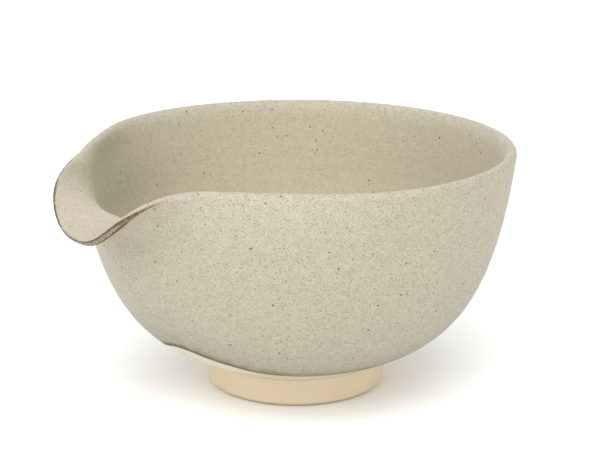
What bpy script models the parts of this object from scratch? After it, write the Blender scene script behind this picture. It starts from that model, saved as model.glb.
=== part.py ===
"""Spouted stoneware bowl: a thrown bowl with one pulled pouring lip, on a bare turned foot ring.

Metres, +Z up. The bowl stands on z = 0 and its lip points to -X. The origin is the centre of the base of
the bounding box, so the axis that the bowl was thrown on stands a little to its +X side, at AXIS_X.
"""

import math

import bmesh
import bpy
import numpy as np
from mathutils import Vector

MM = 0.001

# The bowl as a whole
RIM_RADIUS = 70 * MM  # outside of the rim, away from the lip
HEIGHT = 78.75 * MM  # from the ground to the top of the rim
WALL = 4.3 * MM  # clay with its glaze on both sides
GLAZE = 0.5 * MM  # thickness of the glaze coat
GAP = 0.3 * MM  # room between pieces that touch

# The curve of the wall, from the foot up to the rim
BELLY_RADIUS = 28.1 * MM  # where the belly leaves the foot, on the outside
BELLY_HEIGHT = 9.4 * MM
BELLY_SLOPE = math.radians(21.4)  # above the horizontal
BELLY_FULLNESS = 19.8 * MM  # the curve's handle at the foot
RIM_LEAN = math.radians(7)  # outwards from the vertical
RIM_FULLNESS = 53.5 * MM  # the curve's handle at the rim
RIM_ROUNDING = 5.2 * MM  # height of the rim's rounding on the inside; on the outside it is half the wall
RIM_CREST = 0.5 * MM  # how far outside the wall's middle the rim's crest stands

# The foot ring, and the floor inside it
FOOT_RADIUS = 28.6 * MM
FOOT_HEIGHT = 9.1 * MM
FOOT_WIDTH = 6 * MM  # between the ring's outside and its recess
FOOT_ROUNDING = 1.6 * MM
RECESS_HEIGHT = 5 * MM  # from the ground to the underside of the floor
FLOOR_HEIGHT = 9.6 * MM  # from the ground to the glazed floor, at the centre

# The pouring lip. Its place is an angle from the lip's own direction, and its pull grows up the wall.
LIP_DIRECTION = math.pi
LIP_ROOT = 0.78  # share of the wall's length where the pull starts
LIP_REACH = 13.1 * MM
LIP_REACH_BEND = 1.85  # how late up the wall the lip turns outwards
LIP_REACH_WIDTH = math.radians(21.5)
LIP_REACH_FLAT = 4.3  # how blunt the tip is in plan
LIP_DROP = 15.2 * MM
LIP_DROP_BEND = 2.6  # how late up the wall the lip starts to sink
LIP_DROP_WIDTH = math.radians(15)
LIP_DROP_FLAT = 2.7
LIP_THINNING = 0.35  # share of the wall's thickness that the pull takes at the lip's edge
LIP_THIN_WIDTH = math.radians(18)  # the edge is thin within this angle of the lip's direction
LIP_THIN_FADE = math.radians(9)  # and takes this much more to get back to the full wall
PINCH = 3.3 * MM  # the rim is drawn in beside the lip, where the fingers held it
PINCH_BEND = 3  # how late up the wall the pinch starts
PINCH_DIRECTION = math.radians(48)
PINCH_WIDTH = math.radians(20.5)

# The tip and the far rim are equally far from x = 0
AXIS_X = (LIP_REACH - LIP_THINNING * WALL / 2) / 2

# The lower edge of the glaze: it is highest under the lip, a little raised opposite, and low elsewhere
EDGE_LOW = 0.13  # share of the wall's length
EDGE_RISE = 0.179
EDGE_HIGH_DIRECTION = math.radians(188.6)
EDGE_RISE_WIDTH = math.radians(26)
EDGE_RISE_FLAT = 1.93
EDGE_SECOND_RISE = 0.1
EDGE_SECOND_DIRECTION = math.radians(-40)
EDGE_SECOND_WIDTH = math.radians(48)

# Mesh detail
SIDES = 64
CROWDING = 0.42  # how much closer the sides stand at the lip than the average
WALL_ROWS = 12
WALL_ROWS_CROWDING = 1.5  # above 1, rows crowd towards the rim
RIM_PLACES = (0.5, 0.0, -0.36, -0.7)  # rows over the rim: 1 at its outer foot, 0 at its crest, -1 inside
FLOOR_ROWS = 3
FOOT_SIDES = 56
CURVE_SAMPLES = 400
STEP = 1e-4  # for slopes taken by difference
ROUND_HANDLE = 0.5523  # of a quarter circle drawn as one cubic curve


def bezier(start, start_handle, end_handle, end, t):
    """Points of a cubic curve, as columns of (radius, height)."""
    t = np.asarray(t)[..., None]
    u = 1 - t
    return u**3 * start + 3 * u**2 * t * start_handle + 3 * u * t**2 * end_handle + t**3 * end


def direction(angle):
    """Unit vector of (radius, height), at an angle above the horizontal."""
    return np.array([math.cos(angle), math.sin(angle)])


def wall_curve():
    """The length of the wall's middle line, and its (share of the length, radius, height) arrays."""
    along_belly = direction(BELLY_SLOPE)
    inwards = direction(BELLY_SLOPE + math.pi / 2)
    along_rim = direction(math.pi / 2 - RIM_LEAN)
    start = np.array([BELLY_RADIUS, BELLY_HEIGHT]) + inwards * WALL / 2
    end = np.array([RIM_RADIUS - WALL / 2, HEIGHT - WALL / 2])
    line = bezier(
        start,
        start + along_belly * BELLY_FULLNESS,
        end - along_rim * RIM_FULLNESS,
        end,
        np.linspace(0, 1, CURVE_SAMPLES),
    )
    lengths = np.concatenate([[0], np.cumsum(np.hypot(*np.diff(line, axis=0).T))])
    return float(lengths[-1]), lengths / lengths[-1], line[:, 0], line[:, 1]


WALL_LENGTH, SHARES, RADII, HEIGHTS = wall_curve()


def bump(offset, width, flatness):
    """1 at the middle, falling to 0 over the width."""
    return math.exp(-((offset / width) ** flatness))


def from_direction(angle, centre):
    """Size of the angle between two directions round the axis."""
    return abs(math.remainder(angle - centre, math.tau))


def pull(share):
    """How far up the pulled part of the wall a place is, from 0 to 1."""
    return max(0.0, (share - LIP_ROOT) / (1 - LIP_ROOT))


def middle(share, angle):
    """Point on the wall's middle surface, lip included."""
    radius = np.interp(share, SHARES, RADII)
    height = np.interp(share, SHARES, HEIGHTS)
    if share > 1:
        radius += (share - 1) * (RADII[-1] - RADII[-2]) / (SHARES[-1] - SHARES[-2])
        height += (share - 1) * (HEIGHTS[-1] - HEIGHTS[-2]) / (SHARES[-1] - SHARES[-2])
    pulled = pull(share)
    offset = from_direction(angle, LIP_DIRECTION)
    radius += LIP_REACH * pulled**LIP_REACH_BEND * bump(offset, LIP_REACH_WIDTH, LIP_REACH_FLAT)
    radius -= PINCH * pulled**PINCH_BEND * bump(abs(offset - PINCH_DIRECTION), PINCH_WIDTH, 2)
    height -= LIP_DROP * pulled**LIP_DROP_BEND * bump(offset, LIP_DROP_WIDTH, LIP_DROP_FLAT)
    return Vector((AXIS_X + radius * math.cos(angle), radius * math.sin(angle), height))


def wall_frame(share, angle):
    """Point on the middle surface, and the outward and upward directions there."""
    here = middle(share, angle)
    up = (middle(share + STEP, angle) - middle(share - STEP, angle)).normalized()
    round_axis = middle(share, angle + STEP) - middle(share, angle - STEP)
    return here, round_axis.cross(up).normalized(), up


def at_lip(angle):
    """1 along the lip's own edge and 0 along the rest of the rim."""
    offset = from_direction(angle, LIP_DIRECTION)
    x = min(1.0, max(0.0, (LIP_THIN_WIDTH + LIP_THIN_FADE - offset) / LIP_THIN_FADE))
    return x * x * (3 - 2 * x)


def half_wall(share, angle):
    """Half of the wall's thickness."""
    return WALL / 2 * (1 - LIP_THINNING * pull(share) * at_lip(angle))


def inner_top(angle):
    """Share of the wall's length at which its inside meets the rim's rounding."""
    return 1 - (RIM_ROUNDING - WALL / 2) * (1 - at_lip(angle)) ** 2 / WALL_LENGTH


def wall_point(share, side, depth, angle):
    """Point on a skin of the wall, `depth` under the finished surface: side is 1 outside and -1 inside."""
    here, outwards, _ = wall_frame(share, angle)
    return here + side * (half_wall(share, angle) - depth) * outwards


def rim_point(place, depth, angle):
    """Point on a skin's rounding over the rim, on a cubic curve from the crest down to the wall's face.

    place is 1 at the outer foot of the rounding, 0 at its crest and -1 at its inner foot.
    """
    here, outwards, up = wall_frame(1, angle)
    half = half_wall(1, angle)
    over = RIM_CREST * (1 - at_lip(angle))
    crest = here + over * outwards + (half - depth) * up
    side = 1 if place > 0 else -1
    meets = 1 if side > 0 else inner_top(angle)
    foot = wall_point(meets, side, depth, angle)
    foot_up = wall_frame(meets, angle)[2]
    drop = half - depth + (1 - meets) * WALL_LENGTH
    t = abs(place)
    return (
        (1 - t) ** 3 * crest
        + 3 * (1 - t) ** 2 * t * (crest + ROUND_HANDLE * side * (half - depth - side * over) * outwards)
        + 3 * (1 - t) * t**2 * (foot + ROUND_HANDLE * drop * foot_up)
        + t**3 * foot
    )


def floor_line(depth):
    """Radius and height of each ring of the inside floor, from the wall's foot in to the centre."""
    inside = wall_point(0, -1, depth, 0)
    start = np.array([inside.x - AXIS_X, inside.z])
    centre = np.array([0, FLOOR_HEIGHT - depth])
    reach = start[0] / 2
    line = bezier(
        start,
        start - direction(BELLY_SLOPE) * reach / 2,
        centre + np.array([reach, 0]),
        centre,
        np.linspace(0, 1, FLOOR_ROWS + 1),
    )
    return line[1:-1]


def glaze_edge(angle):
    """Share of the wall's length at which the glaze starts on the outside."""
    near_lip = bump(from_direction(angle, EDGE_HIGH_DIRECTION), EDGE_RISE_WIDTH, EDGE_RISE_FLAT)
    beside = bump(from_direction(angle, EDGE_SECOND_DIRECTION), EDGE_SECOND_WIDTH, 2)
    return EDGE_LOW + EDGE_RISE * near_lip + EDGE_SECOND_RISE * beside


def angles():
    """Directions round the axis, closer together at the lip."""
    even = [math.tau * i / SIDES for i in range(SIDES)]
    return [LIP_DIRECTION + a - CROWDING * math.sin(a) for a in even]


def wall_shares(start, top=1.0):
    """Places up the wall from start to the top, closer together near the top."""
    left = [(1 - i / WALL_ROWS) ** WALL_ROWS_CROWDING for i in range(WALL_ROWS + 1)]
    return [top - (top - start) * rest for rest in left]


def skin_rings(depth):
    """Rings of one skin, from the glaze's edge up the outside, over the rim and down to the floor."""
    columns = []
    for angle in angles():
        column = [wall_point(share, 1, depth, angle) for share in wall_shares(glaze_edge(angle))]
        column += [rim_point(place, depth, angle) for place in RIM_PLACES]
        inside = wall_shares(0, inner_top(angle))[::-1]
        columns.append(column + [wall_point(share, -1, depth, angle) for share in inside])
    rings = [list(ring) for ring in zip(*columns)]
    return rings + [circle(radius, height) for radius, height in floor_line(depth)]


def circle(radius, height):
    """A level ring of points round the bowl's axis."""
    return [
        Vector((AXIS_X + radius * math.cos(a), radius * math.sin(a), height)) for a in angles()
    ]


def loft(name, start, rings, end):
    """Closed solid through a first point, rings of equal size and a last point."""
    bm = bmesh.new()
    loops = [[bm.verts.new(point) for point in ring] for ring in rings]
    for lower, upper in zip(loops, loops[1:]):
        for i in range(SIDES):
            j = (i + 1) % SIDES
            bm.faces.new((lower[i], lower[j], upper[j], upper[i]))
    for point, loop, forwards in ((start, loops[0], False), (end, loops[-1], True)):
        tip = bm.verts.new(point)
        for i in range(SIDES):
            pair = (loop[i], loop[(i + 1) % SIDES])
            bm.faces.new((*(pair if forwards else reversed(pair)), tip))
    bmesh.ops.triangulate(bm, faces=bm.faces, quad_method="SHORT_EDGE")
    bmesh.ops.recalc_face_normals(bm, faces=bm.faces)
    return finish_mesh(name, bm)


def finish_mesh(name, bm):
    """Turns a bmesh into a smooth-shaded object in the bowl's collection."""
    mesh = bpy.data.meshes.new(name)
    bm.to_mesh(mesh)
    bm.free()
    mesh.shade_smooth()
    piece = bpy.data.objects.new(name, mesh)
    COLLECTION.objects.link(piece)
    return piece


def material(piece, colour, roughness):
    """Gives a piece its own plain material."""
    made = bpy.data.materials.new(piece.name)
    made.use_nodes = True
    shader = made.node_tree.nodes["Principled BSDF"]
    shader.inputs["Base Color"].default_value = (*colour, 1)
    shader.inputs["Roughness"].default_value = roughness
    shader.inputs["Metallic"].default_value = 0
    piece.data.materials.append(made)


def bowl_body():
    """Clay wall, lip and floor, under the glaze."""
    depth = GLAZE + GAP
    neck = FOOT_RADIUS - FOOT_WIDTH - GAP
    seat = FOOT_HEIGHT + GAP
    underside = [circle(neck, RECESS_HEIGHT), circle(neck, seat), circle(FOOT_RADIUS, seat)]
    bare = [[wall_point(glaze_edge(a) / 3, 1, depth, a) for a in angles()]]
    piece = loft(
        "bowl_body",
        Vector((AXIS_X, 0, RECESS_HEIGHT)),
        underside + bare + skin_rings(depth),
        Vector((AXIS_X, 0, FLOOR_HEIGHT - depth)),
    )
    material(piece, (0.73, 0.65, 0.51), 0.85)
    return piece


def glaze_coat():
    """Glaze over the inside, the rim, the lip and the outside down to its slanting edge."""
    piece = loft(
        "glaze_coat",
        Vector((AXIS_X, 0, FLOOR_HEIGHT)),
        skin_rings(0)[::-1] + skin_rings(GLAZE),
        Vector((AXIS_X, 0, FLOOR_HEIGHT - GLAZE)),
    )
    material(piece, (0.56, 0.53, 0.42), 0.55)
    return piece


def foot_ring():
    """Turned ring that the bowl stands on: its section is rounded, then spun about the bowl's axis."""
    inner = FOOT_RADIUS - FOOT_WIDTH
    arc = [math.pi / 2 * i / 4 for i in range(5)]
    bottom = [
        (FOOT_RADIUS - FOOT_ROUNDING * (1 - math.cos(a)), FOOT_ROUNDING * (1 - math.sin(a)))
        for a in arc
    ]
    softening = FOOT_ROUNDING / 2
    section = [(FOOT_RADIUS, FOOT_HEIGHT)] + bottom
    section += [(inner + softening, 0), (inner, softening), (inner, FOOT_HEIGHT)]
    mesh = bpy.data.meshes.new("foot_ring")
    corners = [(radius, 0, height) for radius, height in section]
    edges = [(i, (i + 1) % len(corners)) for i in range(len(corners))]
    mesh.from_pydata(corners, edges, [])
    piece = bpy.data.objects.new("foot_ring", mesh)
    piece.location.x = AXIS_X
    COLLECTION.objects.link(piece)
    spin = piece.modifiers.new("spin", "SCREW")
    spin.steps = FOOT_SIDES
    spin.render_steps = FOOT_SIDES
    spin.use_merge_vertices = True
    spin.merge_threshold = 1e-5
    spin.use_smooth_shade = True
    material(piece, (0.70, 0.54, 0.36), 0.9)
    return piece


for old in list(bpy.data.objects):
    bpy.data.objects.remove(old, do_unlink=True)
COLLECTION = bpy.data.collections.new("spouted_bowl")
bpy.context.scene.collection.children.link(COLLECTION)

bowl_body()
foot_ring()
glaze_coat()
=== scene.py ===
import math

import bpy
import numpy as np
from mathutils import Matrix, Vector


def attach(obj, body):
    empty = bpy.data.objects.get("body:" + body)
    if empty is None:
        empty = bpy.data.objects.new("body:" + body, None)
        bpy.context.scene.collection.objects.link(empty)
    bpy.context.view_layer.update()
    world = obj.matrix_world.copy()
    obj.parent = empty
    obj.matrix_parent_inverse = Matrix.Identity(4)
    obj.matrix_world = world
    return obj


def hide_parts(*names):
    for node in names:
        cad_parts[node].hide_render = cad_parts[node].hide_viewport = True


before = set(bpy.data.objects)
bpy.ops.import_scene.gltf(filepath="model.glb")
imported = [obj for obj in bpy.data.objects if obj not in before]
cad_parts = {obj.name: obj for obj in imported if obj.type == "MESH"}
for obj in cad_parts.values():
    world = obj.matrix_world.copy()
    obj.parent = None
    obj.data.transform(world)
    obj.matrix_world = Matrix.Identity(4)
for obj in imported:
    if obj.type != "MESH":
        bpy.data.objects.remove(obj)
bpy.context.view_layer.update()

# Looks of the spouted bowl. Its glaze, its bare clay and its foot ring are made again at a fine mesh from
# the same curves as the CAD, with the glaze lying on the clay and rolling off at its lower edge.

MM = 0.001

# ---- The bowl's shape, in the CAD's own terms ----
RIM_RADIUS = 70 * MM
HEIGHT = 78.75 * MM
WALL = 4.3 * MM
BELLY_RADIUS = 28.1 * MM
BELLY_HEIGHT = 9.4 * MM
BELLY_SLOPE = math.radians(21.4)
BELLY_FULLNESS = 19.8 * MM
RIM_LEAN = math.radians(7)
RIM_FULLNESS = 53.5 * MM
RIM_ROUNDING = 5.2 * MM  # height of the rim's rounding on the inside; on the outside it is half the wall
RIM_CREST = 0.5 * MM  # how far outside the wall's middle the rim's crest stands
LIP_DIRECTION = math.pi
LIP_ROOT = 0.78
LIP_REACH = 13.1 * MM
LIP_REACH_BEND = 1.85
LIP_REACH_WIDTH = math.radians(21.5)
LIP_REACH_FLAT = 4.3
LIP_DROP = 15.2 * MM
LIP_DROP_BEND = 2.6
LIP_DROP_WIDTH = math.radians(15)
LIP_DROP_FLAT = 2.7
CAD_THINNING = 0.35
LIP_THIN_WIDTH = math.radians(18)  # the lip's edge is thin, and cut flat, within this angle of its middle
LIP_THIN_FADE = math.radians(9)
PINCH = 3.3 * MM
PINCH_BEND = 3
PINCH_DIRECTION = math.radians(48)
PINCH_WIDTH = math.radians(20.5)
AXIS_X = (LIP_REACH - CAD_THINNING * WALL / 2) / 2
FLOOR_HEIGHT = 9.6 * MM
RECESS_HEIGHT = 5 * MM
FOOT_RADIUS = 28.6 * MM
FOOT_WIDTH = 6 * MM

# ---- What the looks add to it ----
GLAZE = 0.3 * MM  # how thick the glaze lies on the clay
SINK = 0.05 * MM  # how far the glaze's hidden side goes into the clay
ROLL = 0.8 * MM  # over this width the glaze thins to its lower edge
LIP_THINNING = 0.47  # the pulled edge of the lip is thin
LIP_EDGE_CROWN = 0.4  # how high the flat edge stands, as a share of half its width
ROUND_HANDLE = 0.5523  # of a quarter circle drawn as one cubic curve
SQUARE_HANDLE = 0.92  # of the flat edge's small corners
CORNER_DROP = 0.55 * MM  # the bare clay comes down this much more to meet the foot
CORNER_FADE = 1.6  # how fast that fades out up to the glaze's edge
RINGS = 0.055 * MM  # depth of the throwing rings
RING_PITCH = 6.2 * MM
FOOT_TOP = 9.05 * MM
FOOT_EDGE_WIDTH = 2.7 * MM  # the rounding of the foot's outer bottom edge, across
FOOT_EDGE_HEIGHT = 1.9 * MM  # and up
FOOT_INNER_EDGE = 1.2 * MM

EDGE_LOW = 0.13  # share of the wall's length at which the glaze starts
EDGE_RISE = 0.179
EDGE_HIGH_DIRECTION = math.radians(188.6)
EDGE_RISE_WIDTH = math.radians(26)
EDGE_RISE_FLAT = 1.93
EDGE_SECOND_RISE = 0.1
EDGE_SECOND_DIRECTION = math.radians(-40)
EDGE_SECOND_WIDTH = math.radians(48)

# ---- How finely the meshes are made ----
COLUMNS = 352
CROWDING = 0.42  # the columns stand closer together at the lip
CURVE_SAMPLES = 400
STEP = 1e-4  # for slopes, in shares of the wall and in radians
WALL_ROWS = 92
RIM_ROWS = 34
INNER_ROWS = 72
FLOOR_ROWS = 22
ROW_CROWDING = 1.25  # above 1, rows crowd towards the rim
ROLL_DISTANCES = [d * MM for d in (0, 0.03, 0.08, 0.16, 0.28, 0.45, 0.65, 0.9)]
EDGE_FADE = 0.2  # how far towards the next row down the wall the row beside the lip's edge lies
HIDDEN_ROWS = 16  # of the glaze's side that lies on the clay
CLAY_ROWS = 18
CORNER_ROWS = 14
HIDDEN_RIM_ROWS = 8
HIDDEN_FLOOR_ROWS = 6
FOOT_SIDES = 256


def bezier(start, start_handle, end_handle, end, t):
    t = np.asarray(t)[..., None]
    u = 1 - t
    return u**3 * start + 3 * u**2 * t * start_handle + 3 * u * t**2 * end_handle + t**3 * end


def direction(angle):
    return np.array([math.cos(angle), math.sin(angle)])


def wall_curve():
    """Length of the wall's middle line, and shares of it with their radii and heights."""
    start = np.array([BELLY_RADIUS, BELLY_HEIGHT]) + direction(BELLY_SLOPE + math.pi / 2) * WALL / 2
    end = np.array([RIM_RADIUS - WALL / 2, HEIGHT - WALL / 2])
    line = bezier(
        start,
        start + direction(BELLY_SLOPE) * BELLY_FULLNESS,
        end - direction(math.pi / 2 - RIM_LEAN) * RIM_FULLNESS,
        end,
        np.linspace(0, 1, CURVE_SAMPLES),
    )
    lengths = np.concatenate([[0], np.cumsum(np.hypot(*np.diff(line, axis=0).T))])
    return lengths[-1], lengths / lengths[-1], line[:, 0], line[:, 1]


WALL_LENGTH, SHARES, RADII, HEIGHTS = wall_curve()


def smooth(x):
    """Soft step from 0 to 1."""
    x = np.clip(x, 0, 1)
    return x * x * (3 - 2 * x)


def bump(offset, width, flatness):
    """1 at no offset, falling off over the width; flatness 2 is a bell, and more is a flatter top."""
    return np.exp(-((offset / width) ** flatness))


def from_direction(angle, centre):
    """Angle between two directions, never negative."""
    return np.abs((angle - centre + math.pi) % math.tau - math.pi)


def pull(share):
    """How far up the part of the wall that the lip is pulled from: 0 at its root, 1 at the rim."""
    return np.maximum(0.0, (share - LIP_ROOT) / (1 - LIP_ROOT))


def middle(share, angle):
    """Points on the wall's middle surface, lip included. share and angle are arrays of one shape."""
    over = np.maximum(0.0, share - 1)
    slope = SHARES[-1] - SHARES[-2]
    radius = np.interp(share, SHARES, RADII) + over * (RADII[-1] - RADII[-2]) / slope
    height = np.interp(share, SHARES, HEIGHTS) + over * (HEIGHTS[-1] - HEIGHTS[-2]) / slope
    pulled = pull(share)
    offset = from_direction(angle, LIP_DIRECTION)
    radius = radius + LIP_REACH * pulled**LIP_REACH_BEND * bump(offset, LIP_REACH_WIDTH, LIP_REACH_FLAT)
    radius = radius - PINCH * pulled**PINCH_BEND * bump(np.abs(offset - PINCH_DIRECTION), PINCH_WIDTH, 2)
    height = height - LIP_DROP * pulled**LIP_DROP_BEND * bump(offset, LIP_DROP_WIDTH, LIP_DROP_FLAT)
    return np.stack([AXIS_X + radius * np.cos(angle), radius * np.sin(angle), height], axis=-1)


def unit(v):
    """v at length 1, along its last axis."""
    return v / np.linalg.norm(v, axis=-1, keepdims=True)


def wall_frame(share, angle):
    """Point on the middle surface, and the outward and upward directions there."""
    here = middle(share, angle)
    up = unit(middle(share + STEP, angle) - middle(share - STEP, angle))
    round_axis = middle(share, angle + STEP) - middle(share, angle - STEP)
    return here, unit(np.cross(round_axis, up)), up


def at_lip(angle):
    """1 along the lip's own edge and 0 along the rest of the rim."""
    offset = from_direction(angle, LIP_DIRECTION)
    return smooth((LIP_THIN_WIDTH + LIP_THIN_FADE - offset) / LIP_THIN_FADE)


def half_wall(share, angle, thinning=LIP_THINNING):
    """Half the wall's thickness, thinner towards the lip's edge."""
    return WALL / 2 * (1 - thinning * pull(share) * at_lip(angle))


def below_rim(angle):
    """How far below the rim's own rounding the inside starts to round over: nothing at the lip."""
    return (RIM_ROUNDING - WALL / 2) * (1 - at_lip(angle)) ** 2


def inner_top(angle):
    """Share of the wall's length at which its inside meets the rim's rounding."""
    return 1 - below_rim(angle) / WALL_LENGTH


def rings(share, angle, inside):
    """Faint ridges left by the fingers, fading out at the foot, the rim and the lip."""
    height = share * WALL_LENGTH
    turn = angle * (1 if inside else -1)
    wave = np.sin(math.tau * height / RING_PITCH + turn + 1.3 * np.sin(height / (9 * MM)))
    wave += 0.5 * np.sin(math.tau * height / (RING_PITCH * 0.47) + 2 * turn + 0.7)
    fade = smooth((share - 0.12) / 0.1) * smooth((0.93 - share) / 0.12)
    return RINGS * wave * fade * (0.3 if inside else 0.55)


def wall_row(share, depth, angle, inside=False):
    """One row of points up the wall, depth under the finished surface on the outside or the inside."""
    share = np.broadcast_to(share, angle.shape).astype(float)
    here, outwards, _ = wall_frame(share, angle)
    half = half_wall(share, angle) - depth + rings(share, angle, inside)
    return here + half[:, None] * outwards * (-1 if inside else 1)


def cap(angle):
    """Half the rim's width, how high it stands over its base, and the base's height over the wall's end.

    The base keeps the rim's crest where the CAD has it.
    """
    rim = np.ones_like(angle)
    half = half_wall(rim, angle)
    crown = half * (1 + (LIP_EDGE_CROWN - 1) * at_lip(angle))
    return half, crown, half_wall(rim, angle, CAD_THINNING) - crown


def rim_row(place, depth, angle):
    """One row over the rim: rounded on the bowl, and a flat edge with small corners on the lip.

    place runs from 1 on the outside to -1 on the inside, with the crest at 0. The row lies on a cubic curve
    from the crest down to the wall's own face, which it meets without a crease.
    """
    share = np.ones_like(angle)
    here, outwards, up = wall_frame(share, angle)
    half, crown, base = cap(angle)
    flat = at_lip(angle)
    crest_across = RIM_CREST * (1 - flat)
    crest = here + crest_across[:, None] * outwards + (base + crown - depth)[:, None] * up
    side = 1 if place > 0 else -1
    meets = share if side > 0 else inner_top(angle)
    foot, foot_outwards, foot_up = wall_frame(meets, angle)
    face = (half_wall(meets, angle) - depth)[:, None] * side * foot_outwards
    foot = foot + face + base[:, None] * foot_up
    width = half - depth - side * crest_across
    drop = crown - depth + (1 - meets) * WALL_LENGTH
    handle = ROUND_HANDLE + (SQUARE_HANDLE - ROUND_HANDLE) * flat
    return bezier(
        crest,
        crest + side * (handle * width)[:, None] * outwards,
        foot + (handle * drop)[:, None] * foot_up,
        foot,
        np.full(len(angle), math.asin(abs(place)) * 2 / math.pi),
    )


def glaze_edge(angle):
    """Share of the wall's length at which the glaze starts, a little uneven as a dipped edge is."""
    near_lip = bump(from_direction(angle, EDGE_HIGH_DIRECTION), EDGE_RISE_WIDTH, EDGE_RISE_FLAT)
    beside = bump(from_direction(angle, EDGE_SECOND_DIRECTION), EDGE_SECOND_WIDTH, 2)
    waver = 0.0016 * np.sin(7 * angle + 0.4) + 0.0011 * np.sin(17 * angle + 2.1)
    waver += 0.0006 * np.sin(41 * angle + 1.0)
    return EDGE_LOW + EDGE_RISE * near_lip + EDGE_SECOND_RISE * beside + waver


def columns():
    """Angles of the meshes' columns, starting at the lip."""
    even = math.tau * np.arange(COLUMNS) / COLUMNS
    return LIP_DIRECTION + even - CROWDING * np.sin(even)


ANGLES = columns()
EDGE = glaze_edge(ANGLES)
TOP = inner_top(ANGLES)


def floor_rows(depth, count):
    """Rings of the inside floor from the wall's foot in to the centre."""
    inside = wall_row(0.0, depth, np.array([0.0]), inside=True)[0]
    start = np.array([inside[0] - AXIS_X, inside[2]])
    centre = np.array([0, FLOOR_HEIGHT - depth])
    reach = start[0] / 2
    line = bezier(
        start,
        start - direction(BELLY_SLOPE) * reach / 2,
        centre + np.array([reach, 0]),
        centre,
        np.linspace(0, 1, count + 1),
    )
    return [circle(radius, height) for radius, height in line[1:-1]]


def circle(radius, height, angles=None):
    angles = ANGLES if angles is None else angles
    return np.stack(
        [AXIS_X + radius * np.cos(angles), radius * np.sin(angles), np.full(angles.shape, height)], axis=-1
    )


def loft(name, start, rows, end, values):
    """Closed smooth mesh through a first point, rows of points and a last point.

    values maps an attribute's name to one array or number per row.
    """
    count = len(rows[0])
    points = np.concatenate([[start], *rows, [end]])
    i = np.arange(count)
    j = (i + 1) % count
    faces = []
    for k in range(len(rows) - 1):
        low, high = 1 + k * count, 1 + (k + 1) * count
        faces += np.stack([low + i, low + j, high + j, high + i], axis=1).tolist()
    last = 1 + (len(rows) - 1) * count
    tip = len(points) - 1
    faces += np.stack([1 + j, 1 + i, np.zeros(count, int)], axis=1).tolist()
    faces += np.stack([last + i, last + j, np.full(count, tip)], axis=1).tolist()
    mesh = bpy.data.meshes.new(name)
    mesh.from_pydata(points.tolist(), [], faces)
    for key, per_row in values.items():
        flat = np.concatenate([np.broadcast_to(v, (count,)) for v in per_row])
        flat = np.concatenate([flat[:1], flat, flat[-1:]]).astype(np.float32)
        mesh.attributes.new(key, "FLOAT", "POINT").data.foreach_set("value", flat)
    mesh.update()
    mesh.shade_smooth()
    piece = bpy.data.objects.new(name, mesh)
    bpy.context.scene.collection.objects.link(piece)
    return piece


def face_out(piece):
    """Turns the mesh's faces outwards if they face in."""
    mesh = piece.data
    mesh.calc_loop_triangles()
    at = np.empty(len(mesh.vertices) * 3)
    mesh.vertices.foreach_get("co", at)
    at = at.reshape(-1, 3)
    tri = np.empty(len(mesh.loop_triangles) * 3, int)
    mesh.loop_triangles.foreach_get("vertices", tri)
    a, b, c = (at[tri.reshape(-1, 3)[:, k]] for k in range(3))
    if (a * np.cross(b, c)).sum() < 0:
        mesh.flip_normals()


# ---- Glaze ----
# Iron showing where the glaze broke on the lip's edge: two dark lines along it, and a mottled band between
# them. The rows go by degrees from the lip's middle. The place across the edge and half the width there are in
# halves of the edge's width: 1 at its outer corner, -1 at the inner one, and further on down the wall's faces.
# The last number is how much of it shows.
UPPER_LINE = (
    (-34, 0.7, 0.2, 0),
    (-29, 0.7, 0.22, 0.5),
    (-25, 0.6, 0.4, 0.85),
    (-20, 0.4, 0.6, 0.95),
    (-16, 0, 1.0, 1),
    (-12, -0.1, 1.0, 1),
    (-8, -0.3, 0.8, 1),
    (-4, -0.5, 0.5, 1),
    (0, -0.6, 0.33, 1),
    (4, -0.62, 0.23, 0.95),
    (8, -0.62, 0.23, 0.9),
    (11, -0.6, 0.25, 0.9),
    (13, -0.4, 0.35, 1),
    (15, 0.15, 0.5, 1),
    (17, 0.45, 0.4, 1),
    (19, 0.6, 0.3, 0.8),
    (20, 0.7, 0.25, 0.35),
    (22, 0.7, 0.2, 0),
)
LOWER_LINE = (
    (-3, 0.8, 0.2, 0),
    (0, 0.8, 0.2, 0.4),
    (4, 0.9, 0.3, 0.6),
    (8, 1.1, 0.42, 0.7),
    (11, 1.05, 0.42, 0.9),
    (13, 0.9, 0.35, 1),
    (15, 0.75, 0.25, 0.8),
    (17, 0.75, 0.2, 0),
)
MOTTLED_BAND = (
    (-6, -0.3, 0.3, 0),
    (-2, 0, 0.55, 0.5),
    (2, 0.1, 0.8, 0.9),
    (8, 0.15, 0.95, 1),
    (11, 0.15, 0.95, 1),
    (13, 0.15, 0.9, 1),
    (15, 0.35, 0.6, 0.9),
    (18, 0.6, 0.35, 0.8),
    (21, 0.7, 0.25, 0.3),
    (24, 0.7, 0.2, 0),
)
IRON_SOFTNESS = 0.3  # width over which the lines and the band fade out, in the same halves
IRON_FROM_RIM = 2.5 * MM  # the iron never reaches further than this down the wall's faces

# Painted shade inside the bowl, each by direction, width, share of the wall, reach along it and strength:
# on both sides of the way to the lip, where the lip's root and the near wall shade the inside, and opposite
PAINTED_SHADE_INSIDE = (
    (math.radians(120), math.radians(27), 0.76, 0.15, 0.8),
    (math.radians(240), math.radians(27), 0.76, 0.15, 0.8),
    (math.radians(0), math.radians(36), 0.78, 0.26, 0.5),
)

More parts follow.
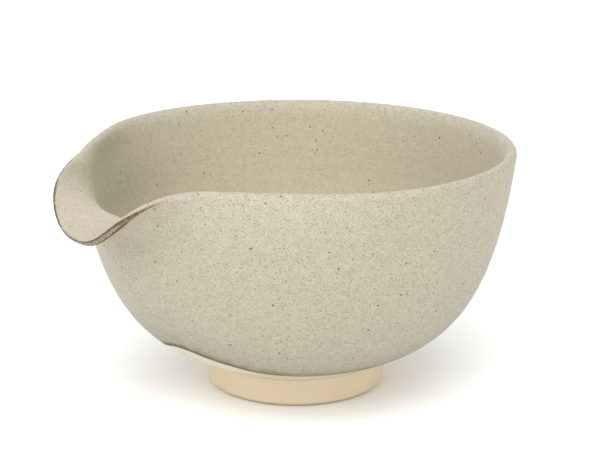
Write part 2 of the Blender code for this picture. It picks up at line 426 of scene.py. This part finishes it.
# The iron along the glaze's lower edge: degrees round the bowl, and how much of its line and its halo shows
EDGE_IRON = (
    (0, 0.5, 0.3),
    (60, 0.75, 0.7),
    (130, 0.5, 0.3),
    (170, 0.8, 0.1),
    (188, 1.0, 0.2),
    (200, 1.0, 0.8),
    (212, 0.95, 1.1),
    (219, 0.85, 1.1),
    (230, 0.4, 1.0),
    (242, 0.35, 0.9),
    (256, 0.5, 0.6),
    (280, 0.7, 0.25),
    (300, 0.5, 0.2),
)
FAR_FROM_EDGE = 70  # millimetres up from the lower edge, for what has no iron of that edge on it

LIP_GLAZE_REACH = math.radians(31)  # the lip's own colour fades out at this angle from its middle
LIP_GLAZE_FADE = math.radians(12)
LIP_GLAZE_ROOT = 0.8  # share of the wall where it starts
LIP_GLAZE_OUTSIDE = 0.35  # how much of it the outside takes


def painted_shade_inside(share):
    """How much of the painted shade inside shows along one row."""
    spots = [
        strength * bump(from_direction(ANGLES, centre), width, 2) * bump(np.abs(share - at), reach, 2)
        for centre, width, at, reach, strength in PAINTED_SHADE_INSIDE
    ]
    return np.max(spots, axis=0)


def across_edge(place):
    """Where a row over the rim lies across the lip's flat edge, from 1 outside to -1 inside."""
    t = np.array(math.asin(abs(place)) * 2 / math.pi)
    return math.copysign(float(bezier(0, SQUARE_HANDLE, 1, 1, t)[0]), place)


def iron_at(across):
    """How much of the mottled band and of the dark lines shows at a place across the lip's edge."""
    degrees = np.degrees((ANGLES - LIP_DIRECTION + math.pi) % math.tau - math.pi)

    def shown(table):
        at, *columns_of_table = zip(*table)
        place, half, shows = (np.interp(degrees, at, column) for column in columns_of_table)
        return shows * smooth((half - np.abs(across - place)) / IRON_SOFTNESS + 0.5)

    return shown(MOTTLED_BAND), np.maximum(shown(UPPER_LINE), shown(LOWER_LINE))


def share_ladder(start, count, top=1.0):
    """Places from start up to the top, closer together near the top."""
    left = (1 - np.arange(count + 1) / count) ** ROW_CROWDING
    return [top - (top - start) * rest for rest in left]


def inside_rows(depth, count):
    """Rows down the inside, from under the rim's rounding to the wall's foot."""
    shares = share_ladder(0.0, count, top=TOP)[-2::-1]
    return [(share, wall_row(share, depth, ANGLES, inside=True)) for share in shares]


def rim_places(count):
    """Places over the rim from its outside to its inside, closer together at both ends."""
    return [math.cos(math.pi * k / count) for k in range(count + 1)]


def beside_edge(row, place):
    """A row close to the lip's edge, which keeps its brown lines from fading down the wall."""
    return row * EDGE_FADE + rim_row(place, 0, ANGLES) * (1 - EDGE_FADE)


def make_glaze():
    """The glaze: its hidden side on the clay first, then up the outside, over the rim and down the inside."""
    rows = []
    names = "edge_mm", "inside", "rim", "lip", "up_wall", "iron", "iron_line", "throat_shade", "edge_line", "halo"
    values = {name: [] for name in names}
    degrees = np.degrees(ANGLES % math.tau)
    at, lines_show, halo_shows = zip(*EDGE_IRON)
    edge_line = np.interp(degrees, at, lines_show, period=360)
    halo = np.interp(degrees, at, halo_shows, period=360)
    near_lip = smooth((LIP_GLAZE_REACH - from_direction(ANGLES, LIP_DIRECTION)) / LIP_GLAZE_FADE)
    half, _, base = cap(ANGLES)

    def add(row, edge, inner, rimness, share, across=None):
        """across is the row's place across the lip's edge, or None to take it from its share of the wall."""
        near = True
        if across is None:
            below = np.maximum(0, (TOP if inner else 1.0) - share) * WALL_LENGTH + base
            across = (1 + below / half) * (-1 if inner else 1)
            near = below < IRON_FROM_RIM
        band, lines = iron_at(across)
        up_lip = smooth((np.asarray(share) - LIP_GLAZE_ROOT) / (1 - LIP_GLAZE_ROOT))
        side = LIP_GLAZE_OUTSIDE + (1 - LIP_GLAZE_OUTSIDE) * inner
        rows.append(row)
        for name, value in zip(
            names,
            (
                edge,
                inner,
                rimness,
                near_lip * up_lip * side,
                share,
                band * near,
                lines * near,
                inner * painted_shade_inside(share),
                edge_line,
                halo,
            ),
        ):
            values[name].append(value)

    for distance in ROLL_DISTANCES:
        left = 1 - min(1.0, distance / ROLL)
        depth = GLAZE * (1 - math.sqrt(max(0.0, 1 - left * left)))
        share = EDGE + distance / WALL_LENGTH
        add(wall_row(share, depth, ANGLES), distance / MM, 0, 0, share)
    first = EDGE + ROLL_DISTANCES[-1] / WALL_LENGTH
    for share in share_ladder(first, WALL_ROWS)[1:-1]:
        add(wall_row(share, 0, ANGLES), (share - EDGE) * WALL_LENGTH / MM, 0, 0, share)
    add(beside_edge(rows[-1], 1), FAR_FROM_EDGE, 0, 0, 1, 1 + EDGE_FADE)
    for place in rim_places(RIM_ROWS):
        rimness = (1 - place**4) ** 0.5
        add(rim_row(place, 0, ANGLES), FAR_FROM_EDGE, 0.5 - 0.5 * place, rimness, 1, across_edge(place))
    down_inside = inside_rows(0, INNER_ROWS)
    add(beside_edge(down_inside[0][1], -1), FAR_FROM_EDGE, 1, 0, 1, -1 - EDGE_FADE)
    for share, row in down_inside:
        add(row, FAR_FROM_EDGE, 1, 0, share)
    for row in floor_rows(0, FLOOR_ROWS):
        add(row, FAR_FROM_EDGE, 1, 0, 0)

    depth = GLAZE + SINK
    hidden = [wall_row(share, depth, ANGLES) for share in share_ladder(EDGE, HIDDEN_ROWS)[:-1]]
    hidden += [rim_row(place, depth, ANGLES) for place in rim_places(HIDDEN_RIM_ROWS)]
    hidden += [row for _, row in inside_rows(depth, HIDDEN_ROWS)]
    hidden += floor_rows(depth, HIDDEN_FLOOR_ROWS)
    for name in names:
        values[name] = [FAR_FROM_EDGE if name == "edge_mm" else 0] * len(hidden) + values[name]
    piece = loft(
        "glaze",
        Vector((AXIS_X, 0, FLOOR_HEIGHT - depth)),
        hidden[::-1] + rows,
        Vector((AXIS_X, 0, FLOOR_HEIGHT)),
        values,
    )
    face_out(piece)
    return piece


# ---- Bare clay under the glaze ----
def make_clay():
    """The bare clay: hollow under the floor, up the outside, over the rim and down the inside."""
    rows = []
    # the hollow under the floor, and the top of the foot ring's seat
    neck = FOOT_RADIUS - FOOT_WIDTH
    rows += [circle(r * MM, RECESS_HEIGHT) for r in (4, 9, 14, 18, 21)]
    rows += [
        circle(neck + 0.2 * MM, RECESS_HEIGHT + 0.05 * MM),
        circle(neck + 0.6 * MM, RECESS_HEIGHT + 0.4 * MM),
        circle(neck + 0.6 * MM, 8.2 * MM),
        circle(FOOT_RADIUS - 1.2 * MM, 8.3 * MM),
    ]
    # the corner where the belly meets the foot, up to the glaze's lower edge
    for k in range(CORNER_ROWS + 1):
        t = k / CORNER_ROWS
        depth = GLAZE - (GLAZE + CORNER_DROP) * (1 - t) ** CORNER_FADE
        rows.append(wall_row(EDGE * t, depth, ANGLES))
    beyond = EDGE + 3 * MM / WALL_LENGTH
    rows += [wall_row(share, GLAZE, ANGLES) for share in share_ladder(beyond, CLAY_ROWS)[:-1]]
    rows += [rim_row(place, GLAZE, ANGLES) for place in rim_places(HIDDEN_RIM_ROWS)]
    rows += [row for _, row in inside_rows(GLAZE, CLAY_ROWS)]
    rows += floor_rows(GLAZE, HIDDEN_FLOOR_ROWS)
    piece = loft(
        "bare_clay",
        Vector((AXIS_X, 0, RECESS_HEIGHT)),
        rows,
        Vector((AXIS_X, 0, FLOOR_HEIGHT - GLAZE)),
        {},
    )
    face_out(piece)
    return piece


# ---- Foot ring ----
def quarter(count):
    """Cosines and sines round a quarter of a turn, without its start."""
    turns = [math.pi / 2 * k / count for k in range(1, count + 1)]
    return [(math.cos(a), math.sin(a)) for a in turns]


def make_foot():
    """The turned foot ring: its section goes from the top down the outside, under it and up the inside."""
    inner = FOOT_RADIUS - FOOT_WIDTH

    def turned(height):
        """Fine lines that the turning tool left."""
        return (0.03 * math.sin(height / MM * 5.1) + 0.02 * math.sin(height / MM * 12.7 + 1)) * MM

    section = [
        (FOOT_RADIUS - 3 * MM, FOOT_TOP + 0.2 * MM),
        (FOOT_RADIUS - 0.8 * MM, FOOT_TOP + 0.12 * MM),
        (FOOT_RADIUS - 0.25 * MM, FOOT_TOP + 0.02 * MM),
        (FOOT_RADIUS - 0.05 * MM, FOOT_TOP - 0.18 * MM),
    ]
    section += [(FOOT_RADIUS + turned(height), height) for height in np.linspace(8.5, 2.1, 34) * MM]
    section += [(FOOT_RADIUS - FOOT_EDGE_WIDTH * (1 - c), FOOT_EDGE_HEIGHT * (1 - s)) for c, s in quarter(12)]
    section += [(radius, 0.0) for radius in np.linspace(25.5, 24.2, 4) * MM]
    section += [(inner + FOOT_INNER_EDGE * (1 - s), FOOT_INNER_EDGE * (1 - c)) for c, s in quarter(6)]
    section += [(inner, 3 * MM), (inner + 0.1 * MM, RECESS_HEIGHT), (inner + 0.9 * MM, 7 * MM)]
    angles = math.tau * np.arange(FOOT_SIDES) / FOOT_SIDES
    points = [circle(radius, height, angles) for radius, height in section]
    i = np.arange(FOOT_SIDES)
    j = (i + 1) % FOOT_SIDES
    faces = []
    for k in range(len(section)):
        here, after = k * FOOT_SIDES, (k + 1) % len(section) * FOOT_SIDES
        faces += np.stack([here + i, here + j, after + j, after + i], axis=1).tolist()
    mesh = bpy.data.meshes.new("foot")
    mesh.from_pydata(np.concatenate(points).tolist(), [], faces)
    mesh.shade_smooth()
    piece = bpy.data.objects.new("foot", mesh)
    bpy.context.scene.collection.objects.link(piece)
    face_out(piece)
    return piece


# ---- Materials ----
class Nodes:
    """Small helper for building a material's nodes. Positions are in millimetres."""

    def __init__(self, name):
        self.material = bpy.data.materials.new(name)
        self.material.use_nodes = True
        self.tree = self.material.node_tree
        self.shader = self.tree.nodes["Principled BSDF"]
        where = self.tree.nodes.new("ShaderNodeTexCoord")
        self.place = self.vector("MULTIPLY", where.outputs["Object"], (1000, 1000, 1000))

    def set(self, socket, value):
        if isinstance(value, bpy.types.NodeSocket):
            self.tree.links.new(value, socket)
        else:
            socket.default_value = value

    def vector(self, operation, a, b):
        node = self.tree.nodes.new("ShaderNodeVectorMath")
        node.operation = operation
        self.set(node.inputs[0], a)
        self.set(node.inputs[1], b)
        return node.outputs[0]

    def math(self, operation, a, b=0.0):
        node = self.tree.nodes.new("ShaderNodeMath")
        node.operation = operation
        self.set(node.inputs[0], a)
        self.set(node.inputs[1], b)
        return node.outputs[0]

    def noise(self, size, detail=2.0, roughness=0.5, place=None):
        """Noise from 0 to 1 with features of about this size in millimetres."""
        node = self.tree.nodes.new("ShaderNodeTexNoise")
        self.set(node.inputs["Vector"], place or self.place)
        node.inputs["Scale"].default_value = 1 / size
        node.inputs["Detail"].default_value = detail
        node.inputs["Roughness"].default_value = roughness
        return node.outputs["Fac"]

    def ramp(self, value, low, high, to_low=0.0, to_high=1.0):
        node = self.tree.nodes.new("ShaderNodeMapRange")
        node.interpolation_type = "SMOOTHSTEP"
        node.clamp = True
        for key, v in (("Value", value), ("From Min", low), ("From Max", high)):
            self.set(node.inputs[key], v)
        self.set(node.inputs["To Min"], to_low)
        self.set(node.inputs["To Max"], to_high)
        return node.outputs["Result"]

    def dots(self, cell, small, large, share):
        """Round spots, one in some of the cells, with radii between small and large millimetres."""
        node = self.tree.nodes.new("ShaderNodeTexVoronoi")
        self.set(node.inputs["Vector"], self.place)
        node.inputs["Scale"].default_value = 1 / cell
        apart = self.tree.nodes.new("ShaderNodeSeparateColor")
        self.set(apart.inputs[0], node.outputs["Color"])
        distance = self.math("MULTIPLY", node.outputs["Distance"], cell)
        radius = self.ramp(apart.outputs[0], 0, 1, small, large)
        inner = self.math("MULTIPLY", radius, 0.55)
        spot = self.ramp(distance, inner, radius, 1, 0)
        kept = self.math("LESS_THAN", apart.outputs[1], share)
        return self.math("MULTIPLY", spot, kept)

    def attribute(self, name):
        node = self.tree.nodes.new("ShaderNodeAttribute")
        node.attribute_name = name
        return node.outputs["Fac"]

    def mix(self, share, a, b):
        node = self.tree.nodes.new("ShaderNodeMix")
        node.data_type = "RGBA"
        self.set(node.inputs[0], share)
        self.set(node.inputs[6], (*a, 1) if isinstance(a, tuple) else a)
        self.set(node.inputs[7], (*b, 1) if isinstance(b, tuple) else b)
        return node.outputs[2]

    def bump(self, height, distance, strength=1.0):
        node = self.tree.nodes.new("ShaderNodeBump")
        node.inputs["Strength"].default_value = strength
        node.inputs["Distance"].default_value = distance
        self.set(node.inputs["Height"], height)
        self.set(self.shader.inputs["Normal"], node.outputs["Normal"])

    def finish(self, piece, colour, roughness):
        self.set(self.shader.inputs["Base Color"], colour)
        self.set(self.shader.inputs["Roughness"], roughness)
        piece.data.materials.append(self.material)


def linear(r, g, b):
    """Linear colour from 0-255 display values."""
    return tuple(((v / 255 + 0.055) / 1.055) ** 2.4 for v in (r, g, b))


GLAZE_WARM = linear(169, 161, 142)
GLAZE_GREEN = linear(164, 160, 141)
GLAZE_LOW_DARKER = linear(150, 147, 130)
GLAZE_INSIDE_PAINTED_LIGHT = linear(183, 175, 153)
GLAZE_THROAT_SHADE = linear(158, 151, 131)
GLAZE_LIP = linear(162, 153, 139)
GLAZE_RIM = linear(166, 160, 146)
IRON = linear(96, 78, 60)
IRON_DARK = linear(66, 50, 35)
IRON_EDGE = linear(86, 69, 45)
IRON_LINE = linear(70, 54, 32)
BREAK_PALE = linear(160, 146, 119)
GLAZE_HALO = linear(118, 99, 66)
EDGE_LINE = linear(76, 60, 39)
CLAY_PALE = linear(208, 202, 184)
CLAY_WARM = linear(203, 194, 174)
FOOT_PALE = linear(221, 206, 180)
FOOT_WARM = linear(222, 203, 171)


def glaze_material(piece):
    """Satin grey-beige glaze with iron in it. Sizes are in millimetres."""
    n = Nodes("glaze")
    edge, inside, rim = n.attribute("edge_mm"), n.attribute("inside"), n.attribute("rim")
    lip, up_wall = n.attribute("lip"), n.attribute("up_wall")

    # the glaze is warmer where it is thin, towards the rim, and greener where it ran thicker
    drift = n.math("ADD", up_wall, n.ramp(n.noise(26, 3), 0.3, 0.7, -0.14, 0.14))
    colour = n.mix(n.ramp(drift, 0.2, 0.9), GLAZE_GREEN, GLAZE_WARM)
    # darker and greener within about 22 mm of the glaze's lower edge
    colour = n.mix(n.ramp(edge, 1, 22, 0.8, 0), colour, GLAZE_LOW_DARKER)
    # painted light: the inside takes a lighter copy of the outside's glaze, brightening the inside of the bowl
    colour = n.mix(inside, colour, GLAZE_INSIDE_PAINTED_LIGHT)
    # painted shade: darker glaze inside beside the lip's root and opposite it, where the bowl's own walls shade
    # it
    colour = n.mix(n.attribute("throat_shade"), colour, GLAZE_THROAT_SHADE)
    colour = n.mix(n.math("MULTIPLY", rim, 0.6), colour, GLAZE_RIM)
    colour = n.mix(n.math("MULTIPLY", lip, 0.8), colour, GLAZE_LIP)

    # mottling and grain, less of it inside
    mottle = n.ramp(n.noise(2.2, 4, 0.65), 0.25, 0.75, 0.94, 1.06)
    quiet = n.ramp(inside, 0, 1, 1, 0.62)
    grain = n.ramp(n.noise(0.36, 2, 0.7), 0.28, 0.72, -0.25, 0.23)
    grain = n.math("ADD", n.math("MULTIPLY", grain, quiet), 1)
    colour = n.vector("MULTIPLY", colour, n.math("MULTIPLY", mottle, grain))

    # iron specks: a pepper of fine ones and a few dark dots
    pepper = n.math("MULTIPLY", n.dots(0.9, 0.12, 0.32, 0.75), quiet)
    colour = n.mix(n.math("MULTIPLY", pepper, 0.55), colour, IRON)
    middling = n.math("MULTIPLY", n.dots(2.3, 0.2, 0.4, 0.5), n.ramp(inside, 0, 1, 0.35, 0.15))
    colour = n.mix(middling, colour, IRON)
    colour = n.mix(n.math("MULTIPLY", n.dots(3.4, 0.2, 0.42, 0.8), 0.9), colour, IRON_DARK)

    # iron breaking through where the glaze thins: mottled over the lip's edge, with a dark line on either side
    patchy = n.mix(n.ramp(n.noise(0.4, 2, 0.7), 0.44, 0.56), IRON_EDGE, BREAK_PALE)
    colour = n.mix(n.math("MULTIPLY", n.attribute("iron"), 0.92), colour, patchy)
    unsteady = n.ramp(n.noise(1.7, 2), 0.25, 0.5, 0.45, 0.95)
    colour = n.mix(n.math("MULTIPLY", n.attribute("iron_line"), unsteady), colour, IRON_LINE)
    shed = n.math("MULTIPLY", n.dots(0.8, 0.16, 0.36, 0.7), n.math("MULTIPLY", rim, 0.5))
    colour = n.mix(shed, colour, IRON)

    # and the lower edge: a thin dark line, with a soft brown halo above it in places
    fray = n.math("ADD", edge, n.ramp(n.noise(1.6, 3), 0.2, 0.8, -1.0, 1.0))
    reach = n.math("ADD", fray, n.ramp(n.noise(5, 3), 0.3, 0.7, -2.0, 2.0))
    halo = n.math("MULTIPLY", n.ramp(reach, 2.0, 8.0, 0.75, 0), n.attribute("halo"))
    colour = n.mix(halo, colour, GLAZE_HALO)
    line = n.math("MULTIPLY", n.ramp(fray, 1.5, 3.2, 0.95, 0), n.attribute("edge_line"))
    colour = n.mix(line, colour, EDGE_LINE)

    skin = n.math("ADD", n.math("MULTIPLY", n.noise(0.5, 3, 0.6), 0.06), n.math("MULTIPLY", n.noise(4, 2), 0.12))
    n.bump(n.math("SUBTRACT", skin, n.math("MULTIPLY", pepper, 0.03)), 0.001, 0.8)
    n.shader.inputs["Specular IOR Level"].default_value = 0.35
    n.finish(piece, colour, n.ramp(n.noise(1.6, 3), 0.3, 0.7, 0.52, 0.66))


def clay_material(piece, name, pale, warm, bands):
    """Bare turned clay: fine sand, faint turning lines and slow changes of colour."""
    n = Nodes(name)
    level = n.vector("MULTIPLY", n.place, (0.02, 0.02, bands))
    lines = n.noise(1, 3, 0.6, level)
    colour = n.mix(n.ramp(n.math("ADD", n.noise(17, 3), n.math("MULTIPLY", lines, 0.5)), 0.55, 0.95), pale, warm)
    sand = n.ramp(n.noise(0.35, 2, 0.6), 0.25, 0.75, 0.96, 1.04)
    colour = n.vector("MULTIPLY", colour, sand)
    colour = n.mix(n.math("MULTIPLY", n.dots(3.4, 0.12, 0.26, 0.3), 0.35), colour, IRON)
    relief = n.math("ADD", n.math("MULTIPLY", lines, 0.05), n.math("MULTIPLY", n.noise(0.3, 2), 0.05))
    n.bump(relief, 0.001, 0.7)
    n.shader.inputs["Specular IOR Level"].default_value = 0.2
    n.finish(piece, colour, n.ramp(n.noise(0.8, 2), 0.3, 0.7, 0.8, 0.92))


glaze = make_glaze()
glaze_material(glaze)
clay = make_clay()
clay_material(clay, "bare_clay", CLAY_PALE, CLAY_WARM, 1.2)
foot = make_foot()
clay_material(foot, "foot_clay", FOOT_PALE, FOOT_WARM, 1.6)

for piece, node, slot in (
    (glaze, "glaze_coat", "glaze"),
    (clay, "bowl_body", "clay"),
    (foot, "foot_ring", "foot_clay"),
):
    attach(piece, "root")
    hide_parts(node)

# ---- Floor, light and camera ----
FLOOR_REACH = 9.0
FLOOR_SIDES = 96
FLOOR_GREY = 0.97
WORLD_STRENGTH = 1.08


def make_floor():
    """A plain round pale floor."""
    mesh = bpy.data.meshes.new("floor")
    around = [math.tau * i / FLOOR_SIDES for i in range(FLOOR_SIDES)]
    corners = [(FLOOR_REACH * math.cos(a), FLOOR_REACH * math.sin(a), 0) for a in around]
    mesh.from_pydata(corners, [], [list(range(FLOOR_SIDES))])
    floor = bpy.data.objects.new("floor", mesh)
    bpy.context.scene.collection.objects.link(floor)
    material = bpy.data.materials.new("floor")
    material.use_nodes = True
    shader = material.node_tree.nodes["Principled BSDF"]
    shader.inputs["Base Color"].default_value = (FLOOR_GREY, FLOOR_GREY, FLOOR_GREY, 1)
    shader.inputs["Roughness"].default_value = 0.9
    shader.inputs["Specular IOR Level"].default_value = 0.0
    floor.data.materials.append(material)


make_floor()

CAMERA_DISTANCE = 0.6035
CAMERA_ELEVATION = math.radians(15.714)
CAMERA_TURN = math.radians(37.664)  # the lip is turned this much towards the camera
CAMERA_LENS = 114.35
CAMERA_SHIFT = -0.002233
AIM = Vector((AXIS_X, 0, 0.04915))


def from_camera_side(turn, elevation, distance):
    """A place seen from the aim at an angle round from the camera, positive to the camera's right."""
    a = CAMERA_TURN - turn
    flat = distance * math.cos(elevation)
    return AIM + Vector((-flat * math.sin(a), -flat * math.cos(a), distance * math.sin(elevation)))


def look_at(thing, target):
    """Turns a lamp or a camera to face the target."""
    thing.rotation_mode = "QUATERNION"
    thing.rotation_quaternion = (target - thing.location).to_track_quat("-Z", "Y")


def softbox(name, turn, elevation, distance, size, power):
    """A rectangular lamp, placed in degrees from the camera's side, in metres and in watts."""
    light = bpy.data.lights.new(name, "AREA")
    light.shape = "RECTANGLE"
    light.size, light.size_y = size
    light.energy = power
    lamp = bpy.data.objects.new(name, light)
    bpy.context.scene.collection.objects.link(lamp)
    lamp.location = from_camera_side(math.radians(turn), math.radians(elevation), distance)
    look_at(lamp, AIM)


softbox("softbox_front", -2, 52, 1.4, (1.1, 0.9), 11)
softbox("softbox_left", -70, 40, 1.6, (1.0, 1.0), 4)

world = bpy.data.worlds.new("studio")
world.use_nodes = True
world.node_tree.nodes["Background"].inputs["Color"].default_value = (1, 1, 1, 1)
world.node_tree.nodes["Background"].inputs["Strength"].default_value = WORLD_STRENGTH
bpy.context.scene.world = world
bpy.context.scene.view_settings.view_transform = "Standard"

camera_data = bpy.data.cameras.new("camera")
camera_data.sensor_width = 36
camera_data.lens = CAMERA_LENS
camera_data.shift_x = CAMERA_SHIFT
camera = bpy.data.objects.new("camera", camera_data)
camera.location = from_camera_side(0, CAMERA_ELEVATION, CAMERA_DISTANCE)
bpy.context.scene.collection.objects.link(camera)
look_at(camera, AIM)
bpy.context.scene.camera = camera
